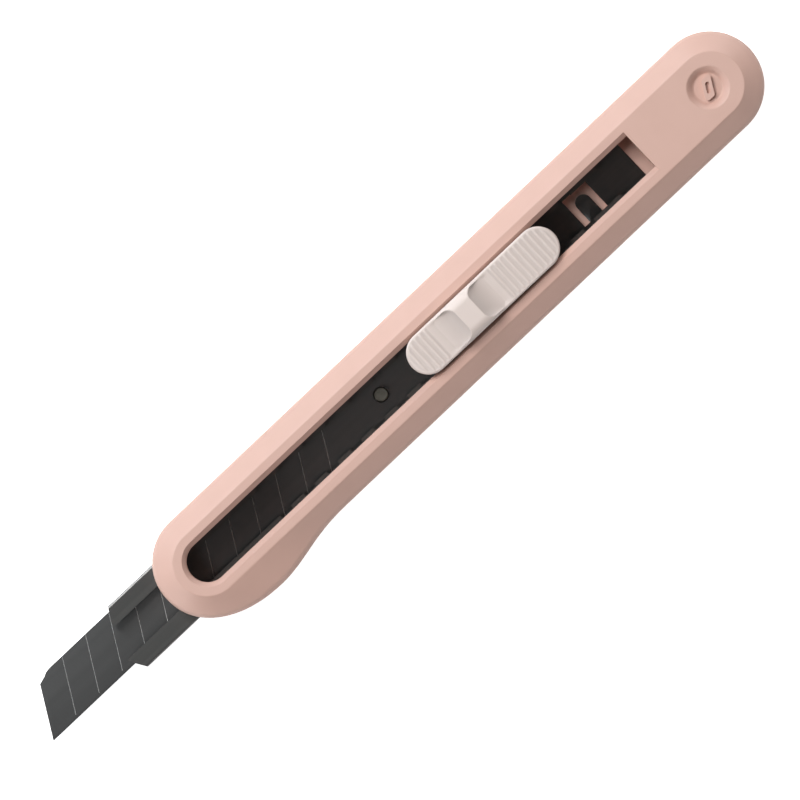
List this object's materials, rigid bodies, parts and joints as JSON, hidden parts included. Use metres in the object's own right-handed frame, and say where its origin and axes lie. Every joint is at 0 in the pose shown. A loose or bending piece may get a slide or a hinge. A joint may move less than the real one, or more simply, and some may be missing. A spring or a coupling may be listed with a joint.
{
  "type": "snap-off cutter",
  "caption": "Slim snap-off cutter: rounded two-shell housing with a finger guard, a steel sheath and a click slider that drives the blade.",
  "frame": {"origin": "centre of the housing's flat back", "axes": "+X from the blade's point to the tail, +Y towards the blade's spine, +Z from the back towards the thumb slider"},
  "size_m": [0.158, 0.0197, 0.0134],
  "materials": {
    "housing": "satin moulded ABS, dusty pink",
    "sheath_steel": "black-oxide sheet steel, satin",
    "blade_steel": "blackened carbon steel with fine grinding lines",
    "pin_steel": "dark turned steel",
    "block_plastic": "black acetal",
    "slider_plastic": "satin moulded ABS, warm off-white",
    "spring_steel": "bright spring steel",
    "rivet_aluminium": "plain",
    "screw_steel": "zinc plated"
  },
  "bodies": {
    "housing": {"top_shell": "housing", "bottom_shell": "housing", "blade_sheath": "sheath_steel", "shell_screws": "screw_steel"},
    "slider": {"thumb_slider": "slider_plastic", "slider_block": "block_plastic", "blade_carrier": "sheath_steel", "carrier_pin": "pin_steel", "blade": "blade_steel", "click_spring": "spring_steel", "slider_rivets": "rivet_aluminium"}
  },
  "joints": [
    {"name": "blade_slide", "type": "slide", "parent": "housing", "child": "slider", "axis": [-1, 0, 0], "range_m": [-0.019, 0.04808], "deforming": ["click_spring"]}
  ]
}
